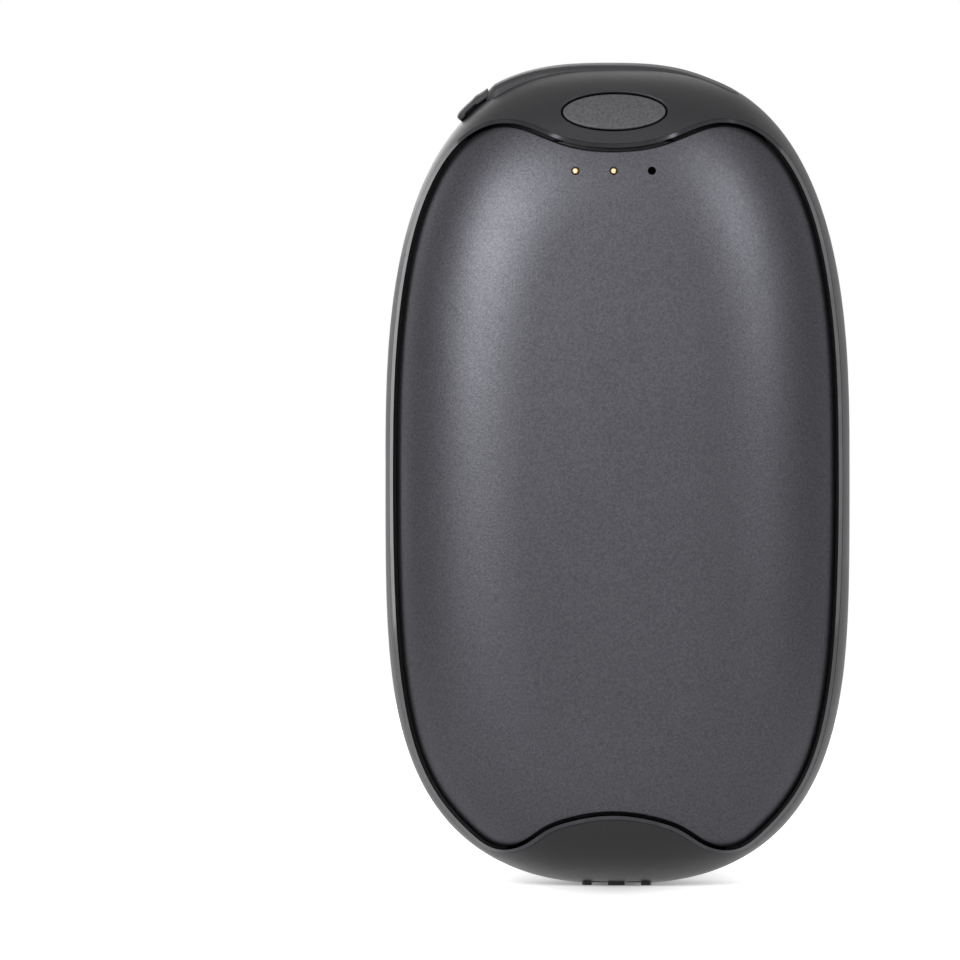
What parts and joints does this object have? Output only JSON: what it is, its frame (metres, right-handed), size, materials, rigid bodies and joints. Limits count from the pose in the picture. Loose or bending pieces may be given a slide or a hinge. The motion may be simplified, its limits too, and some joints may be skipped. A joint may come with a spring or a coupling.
{
  "type": "rechargeable hand warmer",
  "caption": "Palm-size upright pebble hand warmer: aluminium heating plates in a black casing, power button on the top end, soft port flap, sprung charging contacts.",
  "frame": {"origin": "middle of the bottom end, where the upright unit touches the floor, on the parting plane of the casing", "axes": "+Z along the length to the end with the button and port flap, -Y out of the front plate with the contacts, +X to the right seen from the front"},
  "size_m": [0.0566, 0.0242, 0.1001],
  "materials": {
    "casing_black": "smooth satin moulding",
    "plate_gunmetal": "bead-blasted, anodised gunmetal",
    "bezel_gloss": "polished black",
    "button_grey": "fine moulded texture",
    "flap_rubber": "soft matte",
    "steel": "bright",
    "gold": "gold plated",
    "black_moulding": "matte",
    "switch_white": "gloss",
    "board_green": "solder mask",
    "capacitor_tan": "matte",
    "magnet_nickel": "nickel plated",
    "cell_sleeve": "shrink sleeve",
    "nickel_strip": "bright nickel",
    "chassis_white": "matte",
    "film_amber": "polyimide film",
    "foam_grey": "felt pad",
    "lead_red": "silicone lead",
    "lead_black": "silicone lead"
  },
  "bodies": {
    "warmer_body": {"front_shell": "casing_black", "rear_shell": "casing_black", "front_plate": "plate_gunmetal", "rear_plate": "plate_gunmetal", "front_bezel": "bezel_gloss", "rear_bezel": "bezel_gloss", "flap_anchor": "flap_rubber", "usb_shell": "steel", "shell_screws": "steel", "board_screws": "steel", "contact_spring_left": "steel", "contact_spring_middle": "steel", "contact_barrels": "gold", "contact_socket": "gold", "usb_tongue": "black_moulding", "contact_block": "black_moulding", "switch_body": "black_moulding", "control_chip": "black_moulding", "charge_chip": "black_moulding", "power_coil": "black_moulding", "status_leds": "switch_white", "main_board": "board_green", "board_capacitors": "capacitor_tan", "thermistor": "capacitor_tan", "coupling_magnets": "magnet_nickel", "battery_cell_left": "cell_sleeve", "battery_cell_right": "cell_sleeve", "battery_link_top": "nickel_strip", "battery_link_bottom": "nickel_strip", "battery_chassis": "chassis_white", "front_heater": "film_amber", "rear_heater": "film_amber", "front_insulation": "foam_grey", "rear_insulation": "foam_grey", "battery_lead_positive": "lead_red", "front_heater_leads": "lead_red", "rear_heater_leads": "lead_red", "battery_lead_negative": "lead_black", "thermistor_leads": "lead_black"},
    "power_key": {"power_button": "button_grey", "switch_plunger": "switch_white"},
    "left_contact": {"contact_pin_left": "gold"},
    "middle_contact": {"contact_pin_middle": "gold"},
    "flap": {"port_flap": "flap_rubber"}
  },
  "joints": [
    {"name": "button_press", "type": "slide", "parent": "warmer_body", "child": "power_key", "axis": [0, 1, 0], "range_m": [0, 0.0004], "stiffness_N_per_m": 2000},
    {"name": "left_contact_press", "type": "slide", "parent": "warmer_body", "child": "left_contact", "axis": [0, 1, 0], "range_m": [0, 0.0003], "stiffness_N_per_m": 600, "deforming": ["contact_spring_left"]},
    {"name": "middle_contact_press", "type": "slide", "parent": "warmer_body", "child": "middle_contact", "axis": [0, 1, 0], "range_m": [0, 0.0003], "stiffness_N_per_m": 600, "deforming": ["contact_spring_middle"]},
    {"name": "flap_hinge", "type": "hinge", "parent": "warmer_body", "child": "flap", "pos_m": [0.0124, 0, 0.09771], "axis": [0, 1, 0], "range_deg": [0, 110]}
  ]
}
